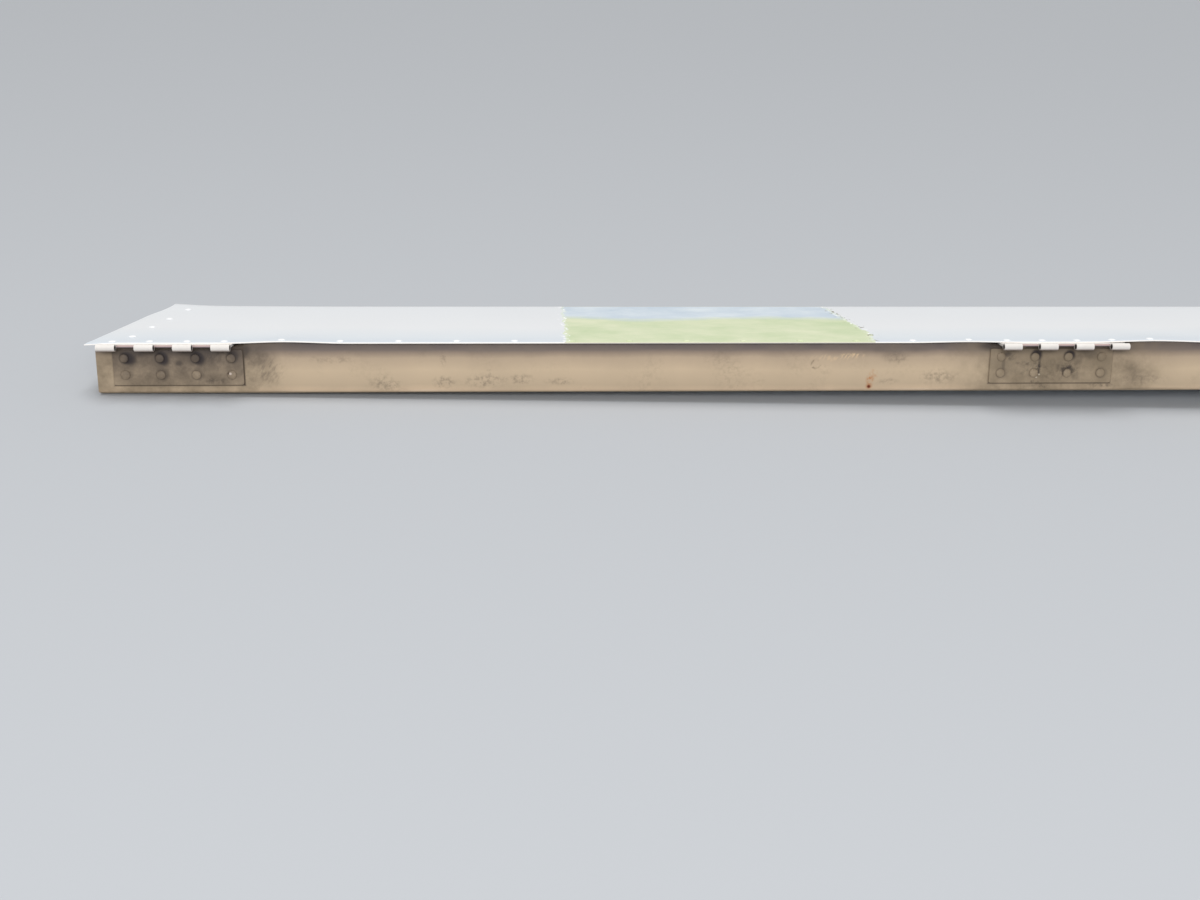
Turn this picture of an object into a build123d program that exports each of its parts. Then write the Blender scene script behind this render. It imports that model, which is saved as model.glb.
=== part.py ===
from build123d import *
import os
from math import cos, radians, sin, tan

os.makedirs("parts", exist_ok=True)

# A riveted sheet-metal trim tab for an aircraft control surface, in millimetres.
# The origin is on the hinge axis at mid-span, +X runs along the axis, +Y aft to the
# trailing edge and +Z up, with the lower skin level.

# Overall wedge
wedge_angle = 9.67
face_height = 33.6
fold_radius = 0.33

# Sheet gauges
skin_sheet = 0.8
spar_sheet = 1.0
rib_sheet = 0.8
leaf_sheet = 1.6
doubler_sheet = 1.0

# Skin edges
skin_lip = 1.0
lower_edge_setback = 2.6
skin_end_lip = 6.8

# Spar channel
bend_radius = 1.2
spar_flange = 16.0
spar_end_margin = 3.6
joggle_margin = 2.0
joggle_run = 6.0

# Extruded hinge halves
hinge_spacing = 609.6
knuckle_pitch = 25.0
knuckle_length = 12.2
knuckle_count = 4
knuckle_diameter = 4.8
pin_bore = 2.5
axis_to_face = 8.0
slot_clearance = 0.4
leaf_reach = 11.0

# Doubler plates on the spar face, offset towards the middle of the tab
doubler_length = 86.0
doubler_foot = 5.7
doubler_top = 29.5
doubler_corner = 1.5
outer_doubler_shift = 7.0
middle_doubler_shift = -6.8

# Ribs
rib_flange = 24.0
rib_clearance = 0.3
rib_flange_gap = 1.2
rib_tail_height = 4.4
rib_bend = 0.8
rib_leg = 0.6
horn_rib_x = 292.2

# Control horn on the underside
horn_from_rib = 13.0
horn_base_sheet = 2.5
horn_base_width = 20.0
horn_base_length = 34.0
horn_base_corner = 2.0
horn_blade_length = 26.0
horn_setback = 21.0
horn_blade = 3.2
horn_drop = 16.5
horn_nose_radius = 6.8
bush_diameter = 8.0
bush_bore = 4.8
bush_proud = 0.4
bush_clearance = 0.03

# Rivets: shank, head and closed tail sizes of the small and the large rivet
small_shank = 2.4
small_head = 5.0
small_head_height = 0.9
large_shank = 3.2
large_head = 6.3
large_head_height = 1.35
tail_ratio = 1.4
tail_height_ratio = 0.45
head_rim_ratio = 0.25
hole_clearance = 0.05

# Rivet places
hinge_rivet_pitch = 24.7
front_row_setback = 5.0
bay_margin_middle = 64.0
bay_margin_outer = 75.2
row_pitch = 39.2
lower_row_setback = 8.5
rib_rivets_aft = (27.8, 73.2, 116.5, 168.3)
rib_rivet_inset = 16.6
doubler_rivet_pitch = 23.5
doubler_row_foot = 7.0
doubler_row_gap = 11.3
horn_rivet_across = 11.0
horn_rivet_along = 22.0

# Worked-out sizes
hinge_length = knuckle_pitch * (knuckle_count - 1) + knuckle_length
spar_half = hinge_spacing + hinge_length / 2 + spar_end_margin
slope = radians(wedge_angle)
gap_edge = knuckle_diameter / 2 + slot_clearance
hinge_places = {"left": -hinge_spacing, "middle": 0.0, "right": hinge_spacing}
doubler_shifts = {
    "left": outer_doubler_shift,
    "middle": middle_doubler_shift,
    "right": -outer_doubler_shift,
}
doubler_rows = (doubler_foot + doubler_row_foot, doubler_foot + doubler_row_foot + doubler_row_gap)


def on_slope(u, n):
    """A YZ point at u aft of the hinge axis along the upper skin and n above the axis."""
    return (u * cos(slope) + n * sin(slope), n * cos(slope) - u * sin(slope))


# The upper skin's own plane, whose local axes are span, u and n
upper = Plane(origin=(0, 0, 0), x_dir=(1, 0, 0), z_dir=(0, sin(slope), cos(slope)))

# The hinge leaf lies right under the skin, with the axis level with its lower face
skin_under = leaf_sheet
foot_y, floor_z = on_slope(axis_to_face, skin_under - face_height)
face = Plane(origin=(0, foot_y, floor_z), x_dir=(1, 0, 0), z_dir=(0, -cos(slope), sin(slope)))
below = Plane(origin=(0, 0, floor_z - skin_sheet), x_dir=(1, 0, 0), z_dir=(0, 0, -1))

# The trailing edge fold is a tight bend where the two skins would meet
apex_u = (skin_under * cos(slope) - floor_z) / sin(slope)
fold_u = apex_u - fold_radius / tan(slope / 2)
fold_y, fold_z = on_slope(fold_u, skin_under - fold_radius)


def fold_point(radius):
    """The aftmost point of a fold arc of this radius."""
    return (fold_y + radius * cos(slope / 2), fold_z - radius * sin(slope / 2))


def below_point(x, y):
    """A spot in the local axes of the plane under the lower skin."""
    return (x, -y)


def drill(plane, spots, shank, depth):
    """Rivet holes from this plane downwards, as a solid to take away."""
    with BuildPart() as holes:
        with BuildSketch(plane):
            with Locations(*spots):
                Circle(shank / 2 + hole_clearance)
        extrude(amount=-depth)
    return holes.part


def rivet(shank, head, head_height, grip):
    """A universal-head rivet, closed under a grip of sheets, with its head above z = 0."""
    tail = shank * tail_ratio / 2
    tail_end = -grip - shank * tail_height_ratio
    rim = head_height * head_rim_ratio
    with BuildPart() as one:
        with BuildSketch(Plane.XZ):
            with BuildLine():
                TangentArc((0, head_height), (head / 2, rim), tangent=(1, 0))
                Polyline(
                    (head / 2, rim),
                    (head / 2, 0),
                    (shank / 2, 0),
                    (shank / 2, -grip),
                    (tail, -grip),
                    (tail, tail_end),
                    (0, tail_end),
                    (0, head_height),
                )
            make_face()
        revolve(axis=Axis.Z)
    return one.part


def small_rivets(plane, spots, grip):
    """Small rivets at these spots of a plane, as separate solids."""
    with BuildPart(plane) as group:
        with Locations(*spots):
            add(rivet(small_shank, small_head, small_head_height, grip))
    return group.part


def large_rivets(plane, spots, grip):
    """Large rivets at these spots of a plane, as separate solids."""
    with BuildPart(plane) as group:
        with Locations(*spots):
            add(rivet(large_shank, large_head, large_head_height, grip))
    return group.part


# Places of every rivet row, in the local axes of the plane that carries it
outside_top = upper.offset(skin_under + skin_sheet)
front_row = axis_to_face + front_row_setback
bay_length = hinge_spacing - bay_margin_middle - bay_margin_outer
bay_count = round(bay_length / row_pitch)
bay_pitch = bay_length / bay_count
right_bay = [bay_margin_middle + bay_pitch * i for i in range(bay_count + 1)]
bay_spots = [(side * x, front_row) for side in (-1, 1) for x in right_bay]
hinge_spots = {
    side: [
        (x + hinge_rivet_pitch * (i - (knuckle_count - 1) / 2), front_row)
        for i in range(knuckle_count)
    ]
    for side, x in hinge_places.items()
}
lower_count = int((spar_half - spar_end_margin - spar_flange) / row_pitch)
lower_spots = [
    below_point(row_pitch * i, foot_y + lower_row_setback)
    for i in range(-lower_count, lower_count + 1)
]


def rib_spots(x):
    """Spots of a rib's upper row and of its lower row straight below."""
    high = [(x, axis_to_face + aft) for aft in rib_rivets_aft]
    low = [below_point(x, foot_y + aft) for aft in rib_rivets_aft]
    return high, low


left_rib_x = -spar_half + rib_rivet_inset
right_rib_x = spar_half - rib_rivet_inset
horn_x = horn_rib_x + horn_from_rib
horn_start = foot_y + horn_setback
horn_middle = horn_start + horn_base_length / 2
horn_spots = [
    below_point(horn_x + across * horn_rivet_across / 2, horn_middle + along * horn_rivet_along / 2)
    for across in (-1, 1)
    for along in (-1, 1)
]
left_high, left_low = rib_spots(left_rib_x)
right_high, right_low = rib_spots(right_rib_x)
horn_high, horn_low = rib_spots(horn_x)
horn_low = [spot for spot in horn_low if -spot[1] > horn_start + horn_base_length]
doubler_spots = {
    side: [
        (x + doubler_shifts[side] + doubler_rivet_pitch * (i - (knuckle_count - 1) / 2), row)
        for i in range(knuckle_count)
        for row in doubler_rows
    ]
    for side, x in hinge_places.items()
}
left_shared_spots = doubler_spots["left"][: len(doubler_rows)]
right_shared_spots = doubler_spots["right"][-len(doubler_rows) :]
horn_face_spots = [(horn_x, row) for row in doubler_rows]

# Wrap-around skin: one sheet folded at the trailing edge, its upper side longer at both ends
lip_u = axis_to_face - skin_lip
with BuildPart() as wraparound_skin:
    with BuildSketch(Plane.YZ.offset(-spar_half)):
        with BuildLine():
            Line(on_slope(lip_u, skin_under), on_slope(fold_u, skin_under))
            ThreePointArc(on_slope(fold_u, skin_under), fold_point(fold_radius), (fold_y, floor_z))
            Polyline(
                (fold_y, floor_z),
                (foot_y + lower_edge_setback, floor_z),
                (foot_y + lower_edge_setback, floor_z - skin_sheet),
                (fold_y, floor_z - skin_sheet),
            )
            ThreePointArc(
                (fold_y, floor_z - skin_sheet),
                fold_point(fold_radius + skin_sheet),
                on_slope(fold_u, skin_under + skin_sheet),
            )
            Polyline(
                on_slope(fold_u, skin_under + skin_sheet),
                on_slope(lip_u, skin_under + skin_sheet),
                on_slope(lip_u, skin_under),
            )
        make_face()
    extrude(amount=2 * spar_half)
    with BuildSketch(upper.offset(skin_under)):
        with Locations(
            (-spar_half - skin_end_lip / 2, (lip_u + fold_u) / 2),
            (spar_half + skin_end_lip / 2, (lip_u + fold_u) / 2),
        ):
            Rectangle(skin_end_lip, fold_u - lip_u)
    extrude(amount=skin_sheet)
    for row in (bay_spots, left_high, right_high, horn_high, *hinge_spots.values()):
        add(drill(outside_top, row, small_shank, skin_sheet), mode=Mode.SUBTRACT)
    for row in (lower_spots, left_low, right_low, horn_low, horn_spots):
        add(drill(below, row, small_shank, skin_sheet), mode=Mode.SUBTRACT)
wraparound_skin.part.label = "wraparound_skin"
export_step(wraparound_skin.part, "parts/wraparound_skin.step")


def channel_face(top_n):
    """The spar's bent section, with the top of its upper flange at height top_n."""
    with BuildSketch() as section:
        with BuildLine():
            FilletPolyline(
                (foot_y + spar_flange, floor_z),
                (foot_y, floor_z),
                on_slope(axis_to_face, top_n),
                on_slope(axis_to_face + spar_flange, top_n),
                radius=bend_radius + spar_sheet,
            )
            offset(amount=spar_sheet, side=Side.RIGHT)
        make_face()
    return section.sketch


# Front spar: a bent channel whose upper flange is joggled down by the leaf's thickness
# under each hinge half
joggle_start = hinge_length / 2 + joggle_margin
stations = [(-spar_half, 0.0)]
for place in hinge_places.values():
    if place > -hinge_spacing:
        stations.append((place - joggle_start - joggle_run, skin_under))
        stations.append((place - joggle_start, 0.0))
    if place < hinge_spacing:
        stations.append((place + joggle_start, 0.0))
        stations.append((place + joggle_start + joggle_run, skin_under))
stations.append((spar_half, 0.0))
with BuildPart() as front_spar:
    for x, top_n in stations:
        with BuildSketch(Plane.YZ.offset(x)):
            add(channel_face(top_n))
    loft(ruled=True)
    for row in hinge_spots.values():
        add(drill(upper, row, small_shank, spar_sheet), mode=Mode.SUBTRACT)
    add(drill(upper.offset(skin_under), bay_spots, small_shank, spar_sheet), mode=Mode.SUBTRACT)
    add(
        drill(below.offset(-skin_sheet), lower_spots, small_shank, spar_sheet),
        mode=Mode.SUBTRACT,
    )
    for row in (*doubler_spots.values(), horn_face_spots):
        add(drill(face, row, large_shank, spar_sheet), mode=Mode.SUBTRACT)
front_spar.part.label = "front_spar"
export_step(front_spar.part, "parts/front_spar.step")

# Hinge halves: extruded leaves with four drilled knuckles each
for side, place in hinge_places.items():
    with BuildPart() as hinge_half:
        with BuildSketch(Plane.YZ.offset(place - hinge_length / 2)):
            with BuildLine():
                Polyline(
                    on_slope(gap_edge, 0),
                    on_slope(axis_to_face + leaf_reach, 0),
                    on_slope(axis_to_face + leaf_reach, leaf_sheet),
                    on_slope(gap_edge, leaf_sheet),
                    close=True,
                )
            make_face()
        extrude(amount=hinge_length)
        for i in range(knuckle_count):
            start = place - hinge_length / 2 + knuckle_pitch * i
            with BuildSketch(Plane.YZ.offset(start)):
                Circle(knuckle_diameter / 2)
                with BuildLine():
                    Polyline(
                        (0, 0),
                        on_slope(gap_edge, 0),
                        on_slope(gap_edge, leaf_sheet),
                        on_slope(0, leaf_sheet),
                        close=True,
                    )
                make_face()
                Circle(pin_bore / 2, mode=Mode.SUBTRACT)
            extrude(amount=knuckle_length)
        add(
            drill(upper.offset(leaf_sheet), hinge_spots[side], small_shank, leaf_sheet),
            mode=Mode.SUBTRACT,
        )
    hinge_half.part.label = "hinge_half_" + side
    export_step(hinge_half.part, "parts/hinge_half_" + side + ".step")

# Doubler plates: flat plates that spread each hinge's load into the spar face
for side, place in hinge_places.items():
    with BuildPart() as spar_doubler:
        with BuildSketch(face):
            with Locations((place + doubler_shifts[side], (doubler_foot + doubler_top) / 2)):
                RectangleRounded(doubler_length, doubler_top - doubler_foot, doubler_corner)
        extrude(amount=doubler_sheet)
        add(
            drill(face.offset(doubler_sheet), doubler_spots[side], large_shank, doubler_sheet),
            mode=Mode.SUBTRACT,
        )
    spar_doubler.part.label = "spar_doubler_" + side
    export_step(spar_doubler.part, "parts/spar_doubler_" + side + ".step")


def angle_strip(plane, length, turn):
    """A bent angle run out from a plane: a flange along its x and a short leg below it."""
    with BuildPart() as strip:
        with BuildSketch(plane):
            with BuildLine():
                FilletPolyline(
                    (0, -rib_keepout - rib_leg),
                    (0, 0),
                    (turn * rib_flange, 0),
                    radius=rib_keepout,
                )
                offset(amount=rib_sheet, side=Side.RIGHT if turn > 0 else Side.LEFT)
            make_face()
        extrude(amount=length)
    return strip.part


# Ribs stand behind the spar web, with flanges under both skins and against the web.
# Their forward part passes between the spar's flanges.
rib_keepout = rib_bend + rib_sheet
rib_front = axis_to_face + spar_sheet
web_front = rib_front + rib_keepout
flange_start = axis_to_face + spar_flange + rib_flange_gap
flange_start_y = foot_y + spar_flange + rib_flange_gap
tail_u = apex_u - rib_tail_height / tan(slope)
tail_y = on_slope(tail_u, skin_under)[0]
web_low = floor_z + spar_sheet + rib_clearance
web_top_n = -spar_sheet - rib_clearance
web_foot_n = (web_low + web_front * sin(slope)) / cos(slope)
front_foot_n = skin_under - face_height + doubler_foot + rib_clearance
front_top_n = skin_under - face_height + doubler_top - rib_clearance
web_outline = (
    on_slope(web_front, web_top_n),
    on_slope(flange_start, web_top_n),
    on_slope(flange_start, skin_under - rib_keepout),
    on_slope(tail_u, skin_under - rib_keepout),
    (tail_y, floor_z + rib_keepout),
    (flange_start_y, floor_z + rib_keepout),
    (flange_start_y, web_low),
    on_slope(web_front, web_foot_n),
)


def rib(web_x, turn):
    """A flanged rib with its web's outer face at web_x and its flanges turned one way."""
    along_top = Plane(
        origin=(web_x, *on_slope(tail_u, skin_under)),
        x_dir=(1, 0, 0),
        z_dir=(0, -cos(slope), sin(slope)),
    )
    along_floor = Plane(
        origin=(web_x, flange_start_y, floor_z), x_dir=(1, 0, 0), z_dir=(0, 1, 0)
    )
    down_front = Plane(
        origin=(web_x, *on_slope(rib_front, front_top_n)),
        x_dir=(1, 0, 0),
        z_dir=(0, -sin(slope), -cos(slope)),
    )
    with BuildPart() as blank:
        with BuildSketch(Plane.YZ.offset(web_x)):
            with BuildLine():
                Polyline(*web_outline, close=True)
            make_face()
        extrude(amount=turn * rib_sheet)
        add(angle_strip(along_top, tail_u - flange_start, turn))
        add(angle_strip(along_floor, tail_y - flange_start_y, turn))
        add(angle_strip(down_front, front_top_n - front_foot_n, turn))
    return blank.part


inside_top = upper.offset(skin_under)
inside_floor = below.offset(-skin_sheet)
inside_face = face.offset(-spar_sheet)

with BuildPart() as left_end_rib:
    add(rib(-spar_half, 1))
    add(drill(inside_top, left_high, small_shank, rib_sheet), mode=Mode.SUBTRACT)
    add(drill(inside_floor, left_low, small_shank, rib_sheet), mode=Mode.SUBTRACT)
    add(
        drill(inside_face, left_shared_spots, large_shank, rib_sheet),
        mode=Mode.SUBTRACT,
    )
left_end_rib.part.label = "left_end_rib"
export_step(left_end_rib.part, "parts/left_end_rib.step")

with BuildPart() as right_end_rib:
    add(rib(spar_half, -1))
    add(drill(inside_top, right_high, small_shank, rib_sheet), mode=Mode.SUBTRACT)
    add(drill(inside_floor, right_low, small_shank, rib_sheet), mode=Mode.SUBTRACT)
    add(
        drill(inside_face, right_shared_spots, large_shank, rib_sheet),
        mode=Mode.SUBTRACT,
    )
right_end_rib.part.label = "right_end_rib"
export_step(right_end_rib.part, "parts/right_end_rib.step")

# The horn rib backs the control horn and spreads its load into both skins and the spar
with BuildPart() as horn_rib:
    add(rib(horn_rib_x, 1))
    add(drill(inside_top, horn_high, small_shank, rib_sheet), mode=Mode.SUBTRACT)
    add(
        drill(inside_floor, horn_low + horn_spots, small_shank, rib_sheet),
        mode=Mode.SUBTRACT,
    )
    add(drill(inside_face, horn_face_spots, large_shank, rib_sheet), mode=Mode.SUBTRACT)
horn_rib.part.label = "horn_rib"
export_step(horn_rib.part, "parts/horn_rib.step")

# Control horn: a base riveted through the lower skin, and a blade with a bushed eye
horn_z = floor_z - skin_sheet
eye_y = horn_middle
eye_z = horn_z - horn_drop + horn_nose_radius
with BuildPart() as control_horn:
    with BuildSketch(below):
        with Locations(below_point(horn_x, horn_middle)):
            RectangleRounded(horn_base_width, horn_base_length, horn_base_corner)
    extrude(amount=horn_base_sheet)
    with BuildSketch(Plane.YZ.offset(horn_x - horn_blade / 2)):
        with Locations((eye_y, eye_z)):
            Circle(horn_nose_radius)
        with Locations((horn_middle, horn_z - horn_base_sheet / 2)):
            Rectangle(horn_blade_length, horn_base_sheet)
        make_hull()
    extrude(amount=horn_blade)
    with BuildSketch(Plane.YZ.offset(horn_x - horn_blade / 2)):
        with Locations((eye_y, eye_z)):
            Circle(bush_diameter / 2 + bush_clearance)
    extrude(amount=horn_blade, mode=Mode.SUBTRACT)
    add(
        drill(below.offset(horn_base_sheet), horn_spots, small_shank, horn_base_sheet),
        mode=Mode.SUBTRACT,
    )
control_horn.part.label = "control_horn"
export_step(control_horn.part, "parts/control_horn.step")

# A steel bush, pressed into the horn's eye and a little proud of it at both sides
with BuildPart() as horn_bush:
    with BuildSketch(Plane.YZ.offset(horn_x - horn_blade / 2 - bush_proud)):
        with Locations((eye_y, eye_z)):
            Circle(bush_diameter / 2)
            Circle(bush_bore / 2, mode=Mode.SUBTRACT)
    extrude(amount=horn_blade + 2 * bush_proud)
horn_bush.part.label = "horn_bush"
export_step(horn_bush.part, "parts/horn_bush.step")

# Rivets, each node one group of like rivets
for side, spots in hinge_spots.items():
    with BuildPart() as hinge_rivets:
        add(small_rivets(outside_top, spots, skin_sheet + leaf_sheet + spar_sheet))
    hinge_rivets.part.label = "hinge_rivets_" + side
    export_step(hinge_rivets.part, "parts/hinge_rivets_" + side + ".step")

for side, spots in doubler_spots.items():
    shared = [spot for spot in spots if spot in left_shared_spots + right_shared_spots]
    plain = [spot for spot in spots if spot not in shared]
    with BuildPart() as doubler_rivets:
        add(large_rivets(face.offset(doubler_sheet), plain, doubler_sheet + spar_sheet))
        if shared:
            add(
                large_rivets(
                    face.offset(doubler_sheet), shared, doubler_sheet + spar_sheet + rib_sheet
                )
            )
    doubler_rivets.part.label = "doubler_rivets_" + side
    export_step(doubler_rivets.part, "parts/doubler_rivets_" + side + ".step")

with BuildPart() as upper_skin_rivets:
    add(small_rivets(outside_top, bay_spots, skin_sheet + spar_sheet))
upper_skin_rivets.part.label = "upper_skin_rivets"
export_step(upper_skin_rivets.part, "parts/upper_skin_rivets.step")

with BuildPart() as lower_skin_rivets:
    add(small_rivets(below, lower_spots, skin_sheet + spar_sheet))
lower_skin_rivets.part.label = "lower_skin_rivets"
export_step(lower_skin_rivets.part, "parts/lower_skin_rivets.step")

with BuildPart() as left_end_rib_rivets:
    add(small_rivets(outside_top, left_high, skin_sheet + rib_sheet))
    add(small_rivets(below, left_low, skin_sheet + rib_sheet))
left_end_rib_rivets.part.label = "left_end_rib_rivets"
export_step(left_end_rib_rivets.part, "parts/left_end_rib_rivets.step")

with BuildPart() as right_end_rib_rivets:
    add(small_rivets(outside_top, right_high, skin_sheet + rib_sheet))
    add(small_rivets(below, right_low, skin_sheet + rib_sheet))
right_end_rib_rivets.part.label = "right_end_rib_rivets"
export_step(right_end_rib_rivets.part, "parts/right_end_rib_rivets.step")

with BuildPart() as horn_rib_rivets:
    add(small_rivets(outside_top, horn_high, skin_sheet + rib_sheet))
    add(small_rivets(below, horn_low, skin_sheet + rib_sheet))
    add(large_rivets(face, horn_face_spots, spar_sheet + rib_sheet))
horn_rib_rivets.part.label = "horn_rib_rivets"
export_step(horn_rib_rivets.part, "parts/horn_rib_rivets.step")

with BuildPart() as horn_rivets:
    add(
        small_rivets(
            below.offset(horn_base_sheet), horn_spots, horn_base_sheet + skin_sheet + rib_sheet
        )
    )
horn_rivets.part.label = "horn_rivets"
export_step(horn_rivets.part, "parts/horn_rivets.step")
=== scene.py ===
import bmesh
import bpy
from math import atan2, cos, pi, radians, sin, tan
from mathutils import Matrix, Vector


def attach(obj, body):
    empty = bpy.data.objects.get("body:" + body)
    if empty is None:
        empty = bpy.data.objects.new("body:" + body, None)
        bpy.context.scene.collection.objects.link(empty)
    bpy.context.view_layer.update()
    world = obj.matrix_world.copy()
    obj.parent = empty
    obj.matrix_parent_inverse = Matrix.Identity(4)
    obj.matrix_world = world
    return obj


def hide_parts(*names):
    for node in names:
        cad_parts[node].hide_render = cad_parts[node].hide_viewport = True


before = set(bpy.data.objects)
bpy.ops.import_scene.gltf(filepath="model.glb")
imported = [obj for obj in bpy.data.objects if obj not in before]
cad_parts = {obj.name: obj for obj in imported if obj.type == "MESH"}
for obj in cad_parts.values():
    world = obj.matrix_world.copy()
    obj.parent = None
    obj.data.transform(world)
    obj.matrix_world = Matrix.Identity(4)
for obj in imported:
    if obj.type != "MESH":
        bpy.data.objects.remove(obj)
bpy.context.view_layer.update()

# Camera and board
# The tab lies on a matt pale board, on the rivet heads below its left end and on its
# control horn, so its right end stands clear. The camera, fitted to the tab's edges,
# looks from the front, a little above.
camera = bpy.data.objects.new("camera", bpy.data.cameras.new("camera"))
bpy.context.collection.objects.link(camera)
camera.location = (-0.35992, -0.79933, 0.26951)
camera.rotation_euler = (radians(66.7008), radians(-0.7884), radians(-2.5938))
camera.data.sensor_width = 36.0
camera.data.lens = 37.516
camera.data.clip_start = 0.01
bpy.context.scene.camera = camera
bpy.context.scene.view_settings.view_transform = "Standard"


def colour(code):
    """Linear RGBA of an sRGB hex code."""
    values = []
    for i in (0, 2, 4):
        part = int(code[i : i + 2], 16) / 255
        values.append(part / 12.92 if part <= 0.04045 else ((part + 0.055) / 1.055) ** 2.4)
    return (*values, 1.0)


def new_material(name):
    """A material whose tree holds only a Principled shader and its output."""
    made = bpy.data.materials.new(name)
    made.use_nodes = True
    tree = made.node_tree
    tree.nodes.clear()
    shader = tree.nodes.new("ShaderNodeBsdfPrincipled")
    output = tree.nodes.new("ShaderNodeOutputMaterial")
    tree.links.new(shader.outputs[0], output.inputs[0])
    return made, tree, shader


# Where the tab touches the board, as x and z
left_x, left_low = -0.6402, -0.0346
horn_x, horn_low = 0.3052, -0.0502
bpy.ops.object.select_all(action="DESELECT")
bpy.ops.mesh.primitive_plane_add(
    size=24,
    location=(horn_x, 0, horn_low),
    rotation=(0, atan2(left_low - horn_low, horn_x - left_x), 0),
)
board = bpy.context.object
board.name = "board"
bpy.ops.object.transform_apply()
board_finish, tree, shader = new_material("matt_pale_board")
shader.inputs["Base Color"].default_value = colour("B7BABE")
shader.inputs["Roughness"].default_value = 0.85
board.data.materials.append(board_finish)

# Soft light
# A wide light from above, as under a large softbox, a lamp in front that lights the
# tab's face, and a pale room around.
overhead = bpy.data.objects.new("above", bpy.data.lights.new("above", "SUN"))
bpy.context.collection.objects.link(overhead)
overhead.rotation_euler = (radians(-9), 0, 0)
overhead.data.angle = radians(38)
overhead.data.energy = 1.72
lamp = bpy.data.objects.new("front", bpy.data.lights.new("front", "AREA"))
bpy.context.collection.objects.link(lamp)
lamp.location = (-0.46, -2.2, 1.2)
lamp.rotation_euler = (Vector((-0.15, 0, 0)) - lamp.location).to_track_quat("-Z", "Y").to_euler()
lamp.data.shape = "RECTANGLE"
lamp.data.size = 2.4
lamp.data.size_y = 0.8
lamp.data.energy = 34
room = bpy.data.worlds.new("pale_room")
room.use_nodes = True
room.node_tree.nodes["Background"].inputs["Color"].default_value = colour("F4F5F6")
room.node_tree.nodes["Background"].inputs["Strength"].default_value = 0.44
bpy.context.scene.world = room

# Spar
# A channel bent from 1 mm aluminium sheet, which closes the front of the tab. Its upper
# flange is set down by the hinge leaf's thickness under each hinge, and it is lifted a
# little beside the hinges, where the skin has been pulled up.
slope = radians(9.67)
aft = Vector((0, cos(slope), -sin(slope)))
square = Vector((0, sin(slope), cos(slope)))


def along(x, u, n):
    """A point at x, u aft of the hinge axis along the upper skin and n above it."""
    return Vector((x, 0, 0)) + u * aft + n * square


def pick(test):
    """In edit mode, select just the vertices whose place passes a test."""
    shape = bmesh.from_edit_mesh(bpy.context.edit_object.data)
    shape.select_mode = {"VERT"}
    for part in (*shape.faces, *shape.edges):
        part.select = False
    for corner in shape.verts:
        corner.select = test(corner.co)
    shape.select_flush(True)
    bmesh.update_edit_mesh(bpy.context.edit_object.data)


def pull(test, move, reach, falloff="SMOOTH"):
    """In edit mode, move some vertices and draw their neighbours along, within a reach."""
    pick(test)
    bpy.ops.transform.translate(
        value=move,
        use_proportional_edit=True,
        proportional_edit_falloff=falloff,
        proportional_size=reach,
    )


def apply_all(piece):
    """Apply every modifier of a piece, in order."""
    bpy.context.view_layer.objects.active = piece
    for modifier in list(piece.modifiers):
        bpy.ops.object.modifier_apply(modifier=modifier.name)


def finish(piece, slot, *nodes):
    """A finished piece rides on the tab's one body and stands for these nodes."""
    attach(piece, "root")
    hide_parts(*nodes)


leaf, sheet, spar_sheet = 0.0016, 0.0008, 0.001
face_u, face_height = 0.008, 0.0336
half_span, flange, bend = 0.6568, 0.016, 0.0022
# Points closer than the first count as one, and edges are found within the second
hair, near = 0.00001, 0.001
foot = along(0, face_u, leaf - face_height)
hinge_spacing = 0.6096
hinge_places = (-hinge_spacing, 0.0, hinge_spacing)
# Half the length of each set-down, in four steps that make it slope at its ends
joggle = (0.0525, 0.0500, 0.0475, 0.0450)
# Where the front edge has been pulled up: the place, how far up, and how far it spreads
lifts = (
    (-0.534, 0.0011, 0.042),
    (-0.066, 0.0006, 0.040),
    (0.066, 0.0011, 0.046),
    (0.536, 0.0007, 0.044),
)

bpy.ops.object.select_all(action="DESELECT")
bpy.ops.mesh.primitive_grid_add(
    x_subdivisions=400,
    y_subdivisions=4,
    size=1,
    location=along(0, face_u, leaf - face_height / 2),
    rotation=(pi / 2 - slope, 0, 0),
)
spar = bpy.context.object
spar.name = "spar"
spar.scale = (2 * half_span, face_height, 1)
bpy.ops.object.transform_apply()
bpy.ops.object.mode_set(mode="EDIT")
pick(lambda p: p.dot(square) > leaf - hair)
bpy.ops.mesh.extrude_region_move(TRANSFORM_OT_translate={"value": flange * aft})
pick(lambda p: p.z < foot.z + hair)
bpy.ops.mesh.extrude_region_move(TRANSFORM_OT_translate={"value": (0, flange, 0)})
for test in (
    lambda p: (p - along(p.x, face_u, leaf)).length < hair,
    lambda p: (p - Vector((p.x, foot.y, foot.z))).length < hair,
):
    pick(test)
    bpy.ops.mesh.bevel(offset=bend, offset_type="OFFSET", segments=5, affect="EDGES")
# Just under the upper bend, and how much of an edge is held when it is pulled
under_bend, grip = leaf - bend - 0.0001, 0.003
for place in hinge_places:
    for half_length in joggle:
        pick(lambda p: abs(p.x - place) < half_length and p.dot(square) > under_bend)
        bpy.ops.transform.translate(value=-leaf / len(joggle) * square)
for x, lift, reach in lifts:
    pull(
        lambda p: abs(p.x - x) < grip and p.dot(square) > under_bend and p.y < face_u + grip,
        lift * square,
        reach,
    )
pick(lambda p: True)
bpy.ops.mesh.normals_make_consistent(inside=False)
bpy.ops.object.mode_set(mode="OBJECT")
thickness = spar.modifiers.new("sheet", "SOLIDIFY")
thickness.thickness = spar_sheet
thickness.offset = -1
apply_all(spar)
bpy.ops.object.shade_smooth_by_angle(angle=radians(40))
finish(spar, "spar_paint", "front_spar")


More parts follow.
